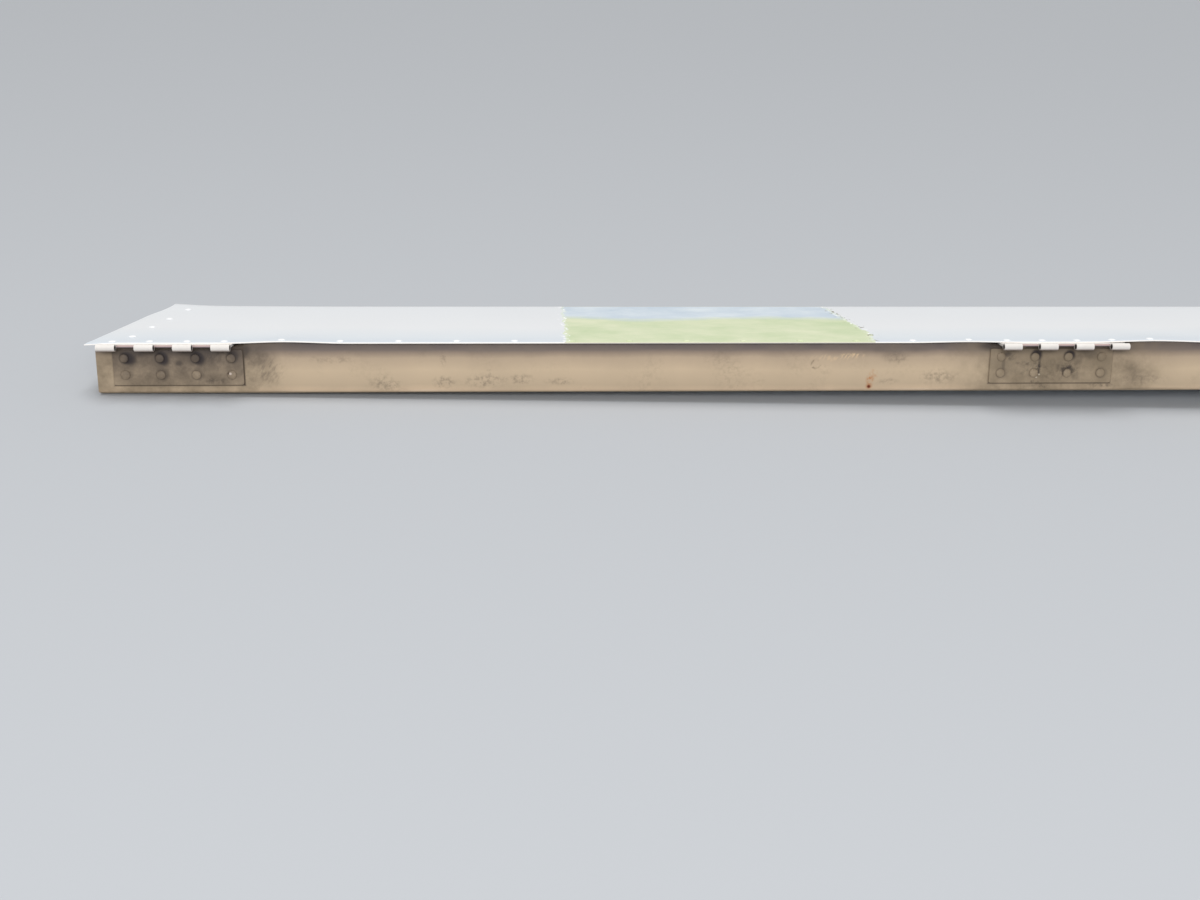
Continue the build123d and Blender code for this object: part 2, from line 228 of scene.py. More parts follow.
def add(tree, kind, feeds, out=0, stops=(), **settings):
    """One node with its settings and ramp stops, fed by values or by other outputs."""
    made = tree.nodes.new("ShaderNode" + kind)
    for name, value in settings.items():
        setattr(made, name, value)
    for position, code in stops:
        made.color_ramp.elements.new(position).color = colour(code)
    if stops:
        made.color_ramp.elements.remove(made.color_ramp.elements[0])
        made.color_ramp.elements.remove(made.color_ramp.elements[-1])
    for key, value in feeds.items():
        if isinstance(value, bpy.types.NodeSocket):
            tree.links.new(value, made.inputs[key])
        else:
            made.inputs[key].default_value = value
    return made.outputs[out]


def coordinates(tree):
    """Object coordinates in metres: whole, then x, u aft and n above the hinge axis."""
    place = add(tree, "TexCoord", {}, out=3)
    x, y, z = add(tree, "SeparateXYZ", {0: place}).node.outputs
    part = add(tree, "Math", {0: z, 1: -sin(slope)}, operation="MULTIPLY")
    u = add(tree, "Math", {0: y, 1: cos(slope), 2: part}, operation="MULTIPLY_ADD")
    part = add(tree, "Math", {0: z, 1: cos(slope)}, operation="MULTIPLY")
    n = add(tree, "Math", {0: y, 1: sin(slope), 2: part}, operation="MULTIPLY_ADD")
    return place, x, u, n


def blot(tree, base, flat, spot, reach, amount, field, code):
    """A colour laid on an oval spot, fading to its rim and broken up by a noise field."""
    off = add(tree, "VectorMath", {0: flat, 1: (*spot, 0)}, operation="SUBTRACT")
    off = add(
        tree, "VectorMath", {0: off, 1: (1 / reach[0], 1 / reach[1], 0)}, operation="MULTIPLY"
    )
    off = add(tree, "VectorMath", {0: off}, out=1, operation="LENGTH")
    depth = add(
        tree,
        "MapRange",
        {"Value": off, "From Min": 0.25, "From Max": 1.0, "To Min": amount, "To Max": 0.0},
        interpolation_type="SMOOTHSTEP",
    )
    depth = add(tree, "Math", {0: depth, 1: field}, operation="MULTIPLY")
    return add(tree, "Mix", {0: depth, 6: base, 7: colour(code)}, out=2, data_type="RGBA")


# Old cream enamel, sprayed, then years of exhaust and oil: tan, dark right under the
# skin's edge with soot and painted shade, and smudged round the hinges. Dull, so the eye
# sees no clear reflection in it. The doubler plates and the end ribs wear it too. At its
# foot it is lighter, a painted highlight on the spar's lower bend.
def cream_paint(name):
    """The enamel before its marks, with its places on the face and the fields of grime."""
    made, tree, shader = new_material(name)
    place, x, _, n = coordinates(tree)
    height = add(tree, "Math", {0: n, 1: face_height - leaf}, operation="ADD")
    flat = add(tree, "CombineXYZ", {0: x, 1: height})
    # Clouds of about 50 mm, which also shake the bands of colour up the face
    clouds = add(
        tree, "TexNoise", {"Vector": place, "Scale": 1 / 0.05, "Detail": 5.0, "Roughness": 0.6}
    )
    shaken = add(tree, "Math", {0: clouds, 1: 0.006, 2: height}, operation="MULTIPLY_ADD")
    shaken = add(tree, "Math", {0: shaken, 1: face_height + 0.003}, operation="DIVIDE")
    # Bands up the face: lighter at the foot, a painted highlight on the lower bend, and dark at
    # the top, soot with painted shade under the skin's edge
    base = add(
        tree,
        "ValToRGB",
        {0: shaken},
        stops=(
            (0.07, "DCC5AB"),
            (0.13, "CCB497"),
            (0.22, "C1AC91"),
            (0.50, "CDB79A"),
            (0.73, "BAA58D"),
            (0.83, "8F7E70"),
            (0.88, "6D625E"),
            (0.98, "524A4B"),
        ),
    )
    dust = add(
        tree, "MapRange", {"Value": clouds, "From Min": 0.35, "From Max": 0.7, "To Max": 0.3}
    )
    base = add(tree, "Mix", {0: dust, 6: base, 7: colour("AC9A83")}, out=2, data_type="RGBA")
    # Smudges of 5 to 20 mm round each hinge
    away = add(tree, "Math", {0: x}, operation="ABSOLUTE")
    outer = add(tree, "Math", {0: away, 1: hinge_spacing}, operation="SUBTRACT")
    outer = add(tree, "Math", {0: outer}, operation="ABSOLUTE")
    nearest = add(tree, "Math", {0: away, 1: outer}, operation="MINIMUM")
    close = add(
        tree,
        "MapRange",
        {"Value": nearest, "From Min": 0.042, "From Max": 0.090, "To Min": 1.0, "To Max": 0.0},
        interpolation_type="SMOOTHSTEP",
    )
    smudge = add(
        tree, "TexNoise", {"Vector": place, "Scale": 1 / 0.016, "Detail": 6.0, "Roughness": 0.66}
    )
    smudge = add(
        tree,
        "MapRange",
        {"Value": smudge, "From Min": 0.36, "From Max": 0.66, "To Min": 0.25, "To Max": 0.85},
    )
    grime = add(tree, "Math", {0: close, 1: smudge}, operation="MULTIPLY")
    base = add(tree, "Mix", {0: grime, 6: base, 7: colour("83745F")}, out=2, data_type="RGBA")
    # Specks of 1 to 2 mm, and slanting flecks of about 1 by 2 mm
    specks = add(
        tree, "TexNoise", {"Vector": place, "Scale": 1 / 0.0026, "Detail": 4.0, "Roughness": 0.65}
    )
    specks = add(tree, "MapRange", {"Value": specks, "From Min": 0.44, "From Max": 0.68})
    slant = add(tree, "Math", {0: height, 1: -0.6, 2: x}, operation="MULTIPLY_ADD")
    squeezed = add(tree, "Math", {0: height, 1: 0.5}, operation="MULTIPLY")
    slanted = add(tree, "CombineXYZ", {0: slant, 1: squeezed})
    flecks = add(
        tree, "TexNoise", {"Vector": slanted, "Scale": 1 / 0.0024, "Detail": 3.0, "Roughness": 0.6}
    )
    flecks = add(tree, "MapRange", {"Value": flecks, "From Min": 0.46, "From Max": 0.64})
    patches = add(
        tree, "TexNoise", {"Vector": place, "Scale": 1 / 0.03, "Detail": 2.0, "Roughness": 0.5}
    )
    patches = add(
        tree, "MapRange", {"Value": patches, "From Min": 0.50, "From Max": 0.68, "To Max": 0.22}
    )
    scatter = add(tree, "Math", {0: specks, 1: patches}, operation="MULTIPLY")
    base = add(tree, "Mix", {0: scatter, 6: base, 7: colour("6E6250")}, out=2, data_type="RGBA")
    gloss = add(tree, "MapRange", {"Value": clouds, "To Min": 0.50, "To Max": 0.68})
    tree.links.new(gloss, shader.inputs["Roughness"])
    shader.inputs["Specular IOR Level"].default_value = 0.3
    # Orange peel, about 2 mm across
    peel = add(tree, "TexNoise", {"Vector": place, "Scale": 1 / 0.002, "Detail": 2.0})
    bump = add(tree, "Bump", {"Height": peel, "Strength": 0.35, "Distance": 0.00005})
    tree.links.new(bump, shader.inputs["Normal"])
    fields = {"soaked_and_shade": 1.0, "smudge": smudge, "specks": specks, "flecks": flecks}
    return made, tree, shader, (x, height, flat), base, fields


# Where grime has gathered, with painted shade under the hinges and under the lifted skin:
# the field that breaks it up, place, reach and depth
spar_smears_and_shade = (
    ("specks", (-0.466, 0.0062), (0.013, 0.0062), 0.40),
    ("specks", (-0.426, 0.0072), (0.010, 0.0056), 0.50),
    ("smudge", (-0.426, 0.0066), (0.008, 0.0044), 0.16),
    ("specks", (-0.3975, 0.0078), (0.019, 0.0066), 0.45),
    ("specks", (-0.3735, 0.0090), (0.013, 0.0046), 0.42),
    ("specks", (-0.347, 0.0075), (0.014, 0.0036), 0.34),
    ("specks", (-0.426, 0.0230), (0.003, 0.0070), 0.42),
    ("specks", (-0.395, 0.0140), (0.003, 0.0030), 0.42),
    ("flecks", (-0.543, 0.0150), (0.014, 0.0130), 0.34),
    ("smudge", (-0.554, 0.0265), (0.020, 0.0130), 0.70),
    ("soaked_and_shade", (-0.5585, 0.0290), (0.006, 0.0080), 0.50),
    ("smudge", (-0.548, 0.0150), (0.022, 0.0160), 0.18),
    ("specks", (-0.500, 0.0230), (0.020, 0.0040), 0.25),
    # Soot with painted shade under the three hinges
    ("soaked_and_shade", (-0.610, 0.0300), (0.066, 0.0060), 0.45),
    ("soaked_and_shade", (0.000, 0.0290), (0.056, 0.0030), 0.28),
    ("soaked_and_shade", (0.610, 0.0300), (0.066, 0.0060), 0.45),
    ("specks", (-0.1156, 0.0235), (0.013, 0.0050), 0.30),
    ("smudge", (-0.1156, 0.0240), (0.014, 0.0056), 0.24),
    ("smudge", (-0.1160, 0.0290), (0.030, 0.0040), 0.30),
    ("specks", (-0.084, 0.0105), (0.018, 0.0064), 0.32),
    ("specks", (-0.120, 0.0070), (0.010, 0.0030), 0.30),
    # Painted shadow under the lifted skin, left of the middle hinge
    ("soaked_and_shade", (-0.046, 0.0318), (0.018, 0.0056), 0.80),
    ("specks", (0.030, 0.0040), (0.014, 0.0032), 0.55),
    ("specks", (-0.012, 0.0035), (0.010, 0.0026), 0.45),
    ("smudge", (0.056, 0.0130), (0.022, 0.0100), 0.22),
    ("specks", (0.060, 0.0080), (0.024, 0.0050), 0.28),
    ("smudge", (0.040, 0.0300), (0.018, 0.0060), 0.40),
    ("specks", (0.350, 0.0080), (0.030, 0.0060), 0.50),
    ("specks", (0.180, 0.0180), (0.016, 0.0050), 0.40),
    ("flecks", (0.552, 0.0160), (0.014, 0.0120), 0.50),
)
# The colour of the soot and of the painted shade
soot_and_shade = "312A2A"
spar_finish, tree, shader, (x, height, flat), base, fields = cream_paint("aged_cream_enamel")
for field, spot, reach, amount in spar_smears_and_shade:
    base = blot(tree, base, flat, spot, reach, amount, fields[field], soot_and_shade)
# Dark seams below and beside the doubler plates, faint at their left ends
plate_places = (-0.6026, -0.0068, 0.6026)
plate_foot, plate_top, plate_half = 0.0057, 0.0295, 0.043
below = add(tree, "Math", {0: plate_foot, 1: height}, operation="SUBTRACT")
for middle, right_depth in zip(plate_places, (0.95, 0.4, 0.8)):
    off = add(tree, "Math", {0: x, 1: -middle}, operation="ADD")
    beside = add(tree, "Math", {0: off}, operation="ABSOLUTE")
    beside = add(tree, "Math", {0: beside, 1: -plate_half}, operation="ADD")
    gap = add(tree, "Math", {0: beside, 1: below}, operation="MAXIMUM")
    seam = add(
        tree,
        "MapRange",
        {"Value": gap, "From Min": 0.0003, "From Max": 0.0012, "To Min": 1.0, "To Max": 0.0},
    )
    left_to_right = {"From Min": -0.01, "From Max": 0.01, "To Min": 0.3, "To Max": right_depth}
    depth = add(tree, "MapRange", {"Value": off, **left_to_right})
    beneath = add(tree, "Math", {0: below, 1: beside}, operation="GREATER_THAN")
    depth = add(tree, "Mix", {0: beneath, 2: depth, 3: 0.85}, data_type="FLOAT")
    seam = add(tree, "Math", {0: seam, 1: depth}, operation="MULTIPLY")
    base = add(tree, "Mix", {0: seam, 6: base, 7: colour("4A3F35")}, out=2, data_type="RGBA")
# A rust bloom with a stain above it, and peach chips under the sooty edge
for field, spot, reach, amount, code in (
    ("smudge", (-0.1328, 0.0080), (0.0040, 0.0056), 0.20, "B4733E"),
    ("specks", (-0.1328, 0.0080), (0.0036, 0.0052), 1.00, "B4733E"),
    ("specks", (-0.1305, 0.0120), (0.0044, 0.0050), 0.45, "B4733E"),
    ("smudge", (-0.1334, 0.0034), (0.0034, 0.0028), 0.85, "B0713F"),
    ("soaked_and_shade", (-0.1334, 0.0033), (0.0019, 0.0017), 1.00, "6A2810"),
    ("flecks", (-0.147, 0.0250), (0.013, 0.0022), 0.75, "E2C49C"),
    ("flecks", (-0.158, 0.0232), (0.022, 0.0036), 0.45, "E2C49C"),
):
    base = blot(tree, base, flat, spot, reach, amount, fields[field], code)
# A ring mark of 6 mm, as a drop of thinner leaves
ring_place, ring_radius = (-0.1709, 0.0190, 0), 0.0030
ring = add(tree, "VectorMath", {0: flat, 1: ring_place}, out=1, operation="DISTANCE")
ring = add(tree, "Math", {0: ring, 1: -ring_radius}, operation="ADD")
ring = add(tree, "Math", {0: ring}, operation="ABSOLUTE")
ring = add(
    tree,
    "MapRange",
    {"Value": ring, "From Min": 0.0002, "From Max": 0.0010, "To Min": 0.6, "To Max": 0.0},
)
ring = add(tree, "Math", {0: ring, 1: fields["flecks"]}, operation="MULTIPLY")
base = add(tree, "Mix", {0: ring, 6: base, 7: colour("6F5E4D")}, out=2, data_type="RGBA")
tree.links.new(base, shader.inputs["Base Color"])
spar.data.materials.append(spar_finish)

# Doubler plates
# Flat plates of 1 mm aluminium sheet, riveted to the spar's face below each hinge.
# Their corners are filed round, and paint softens their edges.
plate_sheet, plate_corner, paint_round = 0.001, 0.0015, 0.0003
bpy.ops.object.select_all(action="DESELECT")
bpy.ops.mesh.primitive_cube_add(
    size=1,
    location=along(
        0, face_u - plate_sheet / 2, leaf - face_height + (plate_foot + plate_top) / 2
    ),
    rotation=(-slope, 0, 0),
)
plate = bpy.context.object
plate.scale = (2 * plate_half, plate_sheet, plate_top - plate_foot)
bpy.ops.object.transform_apply()
bpy.ops.object.mode_set(mode="EDIT")
shape = bmesh.from_edit_mesh(plate.data)
shape.select_mode = {"EDGE"}
for edge in shape.edges:
    edge.select = abs((edge.verts[0].co - edge.verts[1].co).normalized().dot(aft)) > 0.9
shape.select_flush(False)
bmesh.update_edit_mesh(plate.data)
bpy.ops.mesh.bevel(offset=plate_corner, offset_type="OFFSET", segments=4, affect="EDGES")
pick(lambda p: p.dot(aft) < face_u - 0.9 * plate_sheet)
bpy.ops.mesh.bevel(offset=paint_round, offset_type="OFFSET", segments=3, affect="EDGES")
bpy.ops.object.mode_set(mode="OBJECT")
bpy.ops.object.shade_smooth_by_angle(angle=radians(40))

# The spar's enamel under a film of grime, darkest round the upper rivets, with soot and
# painted shade along its top under the hinge. The smears have the same four values a line
# as the spar's, with places from the middle of the plate.
plate_smears_and_shade = {
    "left": (
        ("arc", (-0.0340, 0.0240), (0.0090, 0.0090), 0.95),
        ("soaked_and_shade", (-0.0314, 0.0232), (0.0060, 0.0058), 0.90),
        ("smudge", (-0.0280, 0.0275), (0.0080, 0.0050), 0.85),
        ("arc", (-0.0110, 0.0245), (0.0090, 0.0090), 1.00),
        ("soaked_and_shade", (-0.0092, 0.0228), (0.0058, 0.0058), 0.90),
        ("arc", (0.0128, 0.0245), (0.0090, 0.0090), 1.00),
        ("soaked_and_shade", (0.0146, 0.0230), (0.0054, 0.0058), 0.85),
        ("arc", (0.0353, 0.0250), (0.0090, 0.0080), 0.70),
        ("soaked_and_shade", (0.0375, 0.0270), (0.0060, 0.0044), 0.40),
        ("arc", (0.0000, 0.0122), (0.0500, 0.0080), 0.38),
        ("soaked_and_shade", (0.0004, 0.0206), (0.0038, 0.0028), 0.50),
        ("smudge", (0.0235, 0.0262), (0.0060, 0.0050), 0.50),
        ("specks", (0.0205, 0.0088), (0.0044, 0.0030), 0.55),
        ("specks", (0.0270, 0.0085), (0.0120, 0.0030), 0.40),
        # Soot with painted shade along the top, under the hinge
        ("soaked_and_shade", (0.0000, 0.0312), (0.0640, 0.0084), 0.62),
        ("flecks", (0.0240, 0.0240), (0.0100, 0.0060), 0.30),
    ),
    "middle": (
        ("soaked_and_shade", (-0.0312, 0.0258), (0.0046, 0.0028), 0.60),
        ("flecks", (-0.0285, 0.0240), (0.0066, 0.0036), 0.50),
        ("soaked_and_shade", (-0.0335, 0.0190), (0.0018, 0.0080), 0.30),
        ("arc", (-0.0105, 0.0262), (0.0080, 0.0060), 0.95),
        ("soaked_and_shade", (-0.0100, 0.0278), (0.0052, 0.0024), 0.50),
        ("soaked_and_shade", (-0.0082, 0.0190), (0.0013, 0.0120), 0.45),
        ("specks", (-0.0086, 0.0160), (0.0028, 0.0058), 0.90),
        ("specks", (-0.0110, 0.0060), (0.0048, 0.0026), 0.60),
        ("flecks", (-0.0180, 0.0196), (0.0110, 0.0016), 0.55),
        ("arc", (0.0129, 0.0262), (0.0080, 0.0070), 0.95),
        ("smudge", (0.0190, 0.0225), (0.0044, 0.0060), 0.55),
        ("smudge", (0.0270, 0.0265), (0.0110, 0.0056), 0.70),
        ("arc", (0.0125, 0.0155), (0.0080, 0.0050), 0.70),
        ("specks", (0.0125, 0.0150), (0.0085, 0.0066), 0.75),
        ("smudge", (0.0180, 0.0100), (0.0040, 0.0040), 0.40),
        ("smudge", (0.0065, 0.0170), (0.0040, 0.0040), 0.30),
        ("arc", (-0.0350, 0.0120), (0.0080, 0.0080), 0.30),
        ("arc", (0.0350, 0.0120), (0.0080, 0.0080), 0.30),
        # Soot with painted shade along the top, under the hinge
        ("soaked_and_shade", (0.0000, 0.0312), (0.0640, 0.0070), 0.42),
        ("specks", (0.0000, 0.0150), (0.0400, 0.0100), 0.30),
    ),
    "right": (
        ("arc", (-0.0340, 0.0240), (0.0090, 0.0090), 0.90),
        ("soaked_and_shade", (-0.0318, 0.0232), (0.0052, 0.0052), 0.50),
        ("arc", (-0.0100, 0.0250), (0.0090, 0.0090), 0.95),
        ("arc", (0.0130, 0.0132), (0.0090, 0.0080), 0.70),
        ("specks", (0.0130, 0.0132), (0.0080, 0.0060), 0.60),
        ("smudge", (0.0364, 0.0236), (0.0060, 0.0056), 0.60),
        ("flecks", (0.0020, 0.0160), (0.0200, 0.0080), 0.40),
        # Soot with painted shade along the top, under the hinge
        ("soaked_and_shade", (0.0000, 0.0312), (0.0640, 0.0084), 0.62),
    ),
}
film_colours = {"left": "564B43", "middle": "857661", "right": "6B5E4F"}
# Chips: place from the middle of the plate, reach and colour
plate_chips = {
    "left": (
        ((0.0344, 0.0136), (0.0014, 0.0012), "DCCCC0"),
        ((0.0330, 0.0138), (0.0010, 0.0012), "46372E"),
    ),
    "middle": (
        ((-0.0078, 0.0116), (0.0010, 0.0008), "C9BDA8"),
        ((-0.0096, 0.0096), (0.0010, 0.0007), "C9BDA8"),
    ),
    "right": (),
}
sides = ("left", "middle", "right")
rivet_pitch, rivet_rows = 0.0235, (0.0127, 0.0240)


def plate_paint(side, middle):
    """The paint of a doubler plate, whose middle is at this x, and of its rivets."""
    paint, tree, shader, places, base, fields = cream_paint("grimy_cream_enamel_" + side)
    x, height, flat = places
    # From the middle of the nearest rivet: the domes stay cleaner than the plate
    column = add(tree, "Math", {0: x, 1: -middle}, operation="ADD")
    column = add(tree, "Math", {0: column, 1: rivet_pitch}, operation="DIVIDE")
    column = add(tree, "Math", {0: column, 1: 4.0}, operation="ADD")
    column = add(tree, "Math", {0: column}, operation="FRACT")
    column = add(tree, "Math", {0: column, 1: -0.5}, operation="ADD")
    column = add(tree, "Math", {0: column, 1: rivet_pitch}, operation="MULTIPLY")
    from_lower = add(tree, "Math", {0: height, 1: -rivet_rows[0]}, operation="ADD")
    from_upper = add(tree, "Math", {0: height, 1: -rivet_rows[1]}, operation="ADD")
    nearer = add(tree, "Math", {0: height, 1: sum(rivet_rows) / 2}, operation="LESS_THAN")
    row = add(tree, "Mix", {0: nearer, 2: from_upper, 3: from_lower}, data_type="FLOAT")
    off_rivet = add(tree, "CombineXYZ", {0: column, 1: row})
    rim = add(tree, "VectorMath", {0: off_rivet}, out=1, operation="LENGTH")
    clean = add(
        tree, "MapRange", {"Value": rim, "From Min": 0.0020, "From Max": 0.0030, "To Min": 0.35}
    )
    # Dark crescents round each dome, thickest above it and to its right
    thickest = (0.0009, 0.0004, 0)
    crescent = add(tree, "VectorMath", {0: off_rivet, 1: thickest}, out=1, operation="DISTANCE")
    crescent = add(
        tree,
        "MapRange",
        {"Value": crescent, "From Min": 0.0034, "From Max": 0.0052, "To Min": 1.0, "To Max": 0.0},
    )
    off_dome = add(tree, "MapRange", {"Value": rim, "From Min": 0.0024, "From Max": 0.0031})
    fields["arc"] = add(tree, "Math", {0: crescent, 1: off_dome}, operation="MULTIPLY")
    # A film of grime, thickest towards the hinge
    uneven = {"From Min": 0.25, "From Max": 0.85, "To Min": 0.55, "To Max": 0.85}
    film = add(tree, "MapRange", {"Value": fields["smudge"], **uneven})
    upwards = {"From Min": 0.007, "From Max": 0.022, "To Min": 0.5, "To Max": 1.0}
    higher = add(tree, "MapRange", {"Value": height, **upwards})
    film = add(tree, "Math", {0: film, 1: higher}, operation="MULTIPLY")
    grime = colour(film_colours[side])
    base = add(tree, "Mix", {0: film, 6: base, 7: grime}, out=2, data_type="RGBA")
    for field, (off, up), reach, amount in plate_smears_and_shade[side]:
        dirt = add(tree, "Math", {0: fields[field], 1: clean}, operation="MULTIPLY")
        base = blot(tree, base, flat, (middle + off, up), reach, amount, dirt, soot_and_shade)
    # A thin seam round each dome, then the chips
    seam = add(tree, "Math", {0: rim, 1: 0.0032, 2: 0.0002}, operation="COMPARE")
    seam = add(tree, "Math", {0: seam, 1: 0.15}, operation="MULTIPLY")
    base = add(tree, "Mix", {0: seam, 6: base, 7: colour("40362F")}, out=2, data_type="RGBA")
    for (off, up), reach, code in plate_chips[side]:
        base = blot(tree, base, flat, (middle + off, up), reach, 0.8, 1.0, code)
    tree.links.new(base, shader.inputs["Base Color"])
    return paint


plate_paints = {}
for side, place in zip(sides, plate_places):
    doubler = plate.copy()
    doubler.data = plate.data.copy()
    doubler.name = "doubler_" + side
    bpy.context.collection.objects.link(doubler)
    doubler.data.transform(Matrix.Translation((place, 0, 0)))
    plate_paints[side] = plate_paint(side, place)
    doubler.data.materials.append(plate_paints[side])
    finish(doubler, "spar_paint", "spar_doubler_" + side)
bpy.data.objects.remove(plate)

# Ribs
# Pressed from 0.8 mm aluminium sheet, and riveted inside the skin. The end ribs close
# the tab and wear the spar's paint. The horn rib is in zinc-chromate primer, a mottled
# green that is quite matt.
for node in ("left_end_rib", "right_end_rib"):
    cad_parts[node].material_slots[0].material = spar_finish
primer_finish, tree, shader = new_material("matt_green_primer")
place = add(tree, "TexCoord", {}, out=3)
clouds = add(
    tree, "TexNoise", {"Vector": place, "Scale": 1 / 0.02, "Detail": 5.0, "Roughness": 0.6}
)
mottled = {0: clouds, 6: colour("96A35E"), 7: colour("AFBA78")}
base = add(tree, "Mix", mottled, out=2, data_type="RGBA")
tree.links.new(base, shader.inputs["Base Color"])
shader.inputs["Roughness"].default_value = 0.75
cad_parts["horn_rib"].material_slots[0].material = primer_finish

# Hinge halves
# Extruded aluminium with open knuckles, riveted under the skin. The off-white paint is
# bright on top, and painted shade darkens the pin holes, the knuckle ends round them and
# the undersides. The leaf's edge between the knuckles is a dull pink, with painted shade
# at its foot.
hinge_finish, tree, shader = new_material("worn_white_hinge_paint")
place, _, u, n = coordinates(tree)
# Worn in patches of about 6 mm
wear = add(
    tree, "TexNoise", {"Vector": place, "Scale": 1 / 0.006, "Detail": 5.0, "Roughness": 0.65}
)
mottled = {0: wear, 6: colour("DAD4CE"), 7: colour("EEE9E3")}
base = add(tree, "Mix", mottled, out=2, data_type="RGBA")
# Painted shade on the undersides of the knuckles and leaf
low = add(
    tree,
    "MapRange",
    {"Value": n, "From Min": -0.0021, "From Max": -0.0008, "To Min": 0.85, "To Max": 0.0},
)
base = add(tree, "Mix", {0: low, 6: base, 7: colour("8A766C")}, out=2, data_type="RGBA")
section = add(tree, "CombineXYZ", {1: u, 2: n})
# Painted shade in the pin holes and on the knuckle ends round them
hole = add(tree, "VectorMath", {0: section}, out=1, operation="LENGTH")
hole = add(
    tree,
    "MapRange",
    {"Value": hole, "From Min": 0.0015, "From Max": 0.0020, "To Min": 0.95, "To Max": 0.0},
)
base = add(tree, "Mix", {0: hole, 6: base, 7: colour("2E2723")}, out=2, data_type="RGBA")
leaf_front = 0.0028
edge = add(tree, "Math", {0: u, 1: leaf_front, 2: 0.00008}, operation="COMPARE")
pink = add(tree, "Math", {0: edge, 1: 0.85}, operation="MULTIPLY")
base = add(tree, "Mix", {0: pink, 6: base, 7: colour("D2B4AC")}, out=2, data_type="RGBA")
# Painted shade at the foot of the leaf's edge
under = add(
    tree,
    "MapRange",
    {"Value": n, "From Min": 0.0003, "From Max": 0.0008, "To Min": 0.9, "To Max": 0.0},
)
under = add(tree, "Math", {0: edge, 1: under}, operation="MULTIPLY")
base = add(tree, "Mix", {0: under, 6: base, 7: colour("8C7C82")}, out=2, data_type="RGBA")
tree.links.new(base, shader.inputs["Base Color"])
gloss = add(tree, "MapRange", {"Value": wear, "To Min": 0.35, "To Max": 0.6})
tree.links.new(gloss, shader.inputs["Roughness"])
bump = add(tree, "Bump", {"Height": wear, "Strength": 0.3, "Distance": 0.00008})
tree.links.new(bump, shader.inputs["Normal"])
for side in sides:
    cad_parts["hinge_half_" + side].material_slots[0].material = hinge_finish

# Skin
# One sheet of 0.8 mm aluminium, folded round at the trailing edge. Handling has lifted
# its front edge beside the hinges, and turned its front left corner down and its rear
# left corner up.
skin_top = leaf + sheet
lip_u, end_lip = face_u - 0.001, 0.0068
fold_radius = 0.00033
fold_u = (leaf * cos(slope) - foot.z) / sin(slope) - fold_radius / tan(slope / 2)
fold = along(0, fold_u, leaf - fold_radius)
# The lower side ends behind the spar's foot, and is held flat up to this far from the fold
lower_setback, free_of_ribs = 0.0026, 0.020
# Behind its front corner the left lip is narrower, and over its last 60 mm it has been
# trimmed down to a small share of its width
corner_kept, narrower, trimmed, share_left = 0.012, 0.0017, 0.060, 0.08

bpy.ops.object.select_all(action="DESELECT")
bpy.ops.mesh.primitive_grid_add(
    x_subdivisions=200,
    y_subdivisions=24,
    size=1,
    location=along(0, (lip_u + fold_u) / 2, skin_top),
    rotation=(-slope, 0, 0),
)
skin = bpy.context.object
skin.name = "skin"
skin.scale = (2 * half_span, fold_u - lip_u, 1)
bpy.ops.object.transform_apply()
bpy.ops.object.mode_set(mode="EDIT")
# Folded round under itself, then run forward to the spar's foot
pick(lambda p: p.y > fold.y - near)
bpy.ops.mesh.spin(steps=8, angle=pi - slope, center=fold, axis=(1, 0, 0))
flat_run = fold.y - free_of_ribs - foot.y - lower_setback
for run in (*[free_of_ribs / 4] * 4, flat_run):
    bpy.ops.mesh.extrude_region_move(TRANSFORM_OT_translate={"value": (0, -run, 0)})
# The upper side stands past both ends of the lower one
for end in (-1, 1):
    pick(lambda p: end * p.x > half_span - near and p.dot(square) > skin_top - hair)
    bpy.ops.mesh.extrude_region_move(TRANSFORM_OT_translate={"value": (end * end_lip, 0, 0)})
pick(lambda p: True)
bpy.ops.mesh.remove_doubles(threshold=hair)
bpy.ops.mesh.normals_make_consistent(inside=False)
# Only the left lip is shown while it is trimmed
pick(lambda p: p.x < -half_span - near)
bpy.ops.mesh.hide(unselected=True)
pick(lambda p: p.dot(aft) > lip_u + corner_kept and p.x < -half_span - near)
bpy.ops.transform.translate(value=(narrower, 0, 0))
pull(
    lambda p: p.dot(aft) > fold_u - near and p.x < -half_span - near,
    ((1 - share_left) * end_lip - narrower, 0, 0),
    trimmed,
)
bpy.ops.mesh.reveal(select=False)
# The lower side is hidden up to its last 20 mm, and so stays flat, while the rest is bent
pick(lambda p: p.z < foot.z - sheet + hair and p.y < fold.y - free_of_ribs + near)
bpy.ops.mesh.hide(unselected=False)
grip_along, grip_aft, grip_corner = 0.004, 0.006, 0.0015
for x, lift, reach in lifts:
    pull(
        lambda p: abs(p.x - x) < grip_along
        and (p - along(p.x, lip_u, skin_top)).length < grip_aft,
        lift * square,
        reach,
    )
left_rear = along(-half_span - share_left * end_lip, fold_u, skin_top)
for corner, lift, reach, falloff in (
    (along(-half_span - end_lip, lip_u, skin_top), -0.0010, 0.020, "SMOOTH"),
    (left_rear, 0.0006, 0.150, "SMOOTH"),
    (left_rear, 0.0018, 0.045, "SHARP"),
    (along(half_span + end_lip, fold_u, skin_top), 0.0006, 0.060, "SMOOTH"),
):
    pull(lambda p: (p - corner).length < grip_corner, (0, 0, lift), reach, falloff)
bpy.ops.mesh.reveal(select=False)
bpy.ops.object.mode_set(mode="OBJECT")
thickness = skin.modifiers.new("sheet", "SOLIDIFY")
thickness.thickness = sheet
thickness.offset = -1
rounding = skin.modifiers.new("edges", "BEVEL")
rounding.width = 0.00024
rounding.segments = 3
rounding.limit_method = "ANGLE"
rounding.angle_limit = radians(50)
apply_all(skin)
bpy.ops.object.shade_smooth_by_angle(angle=radians(30))
finish(skin, "skin_paint", "wraparound_skin")


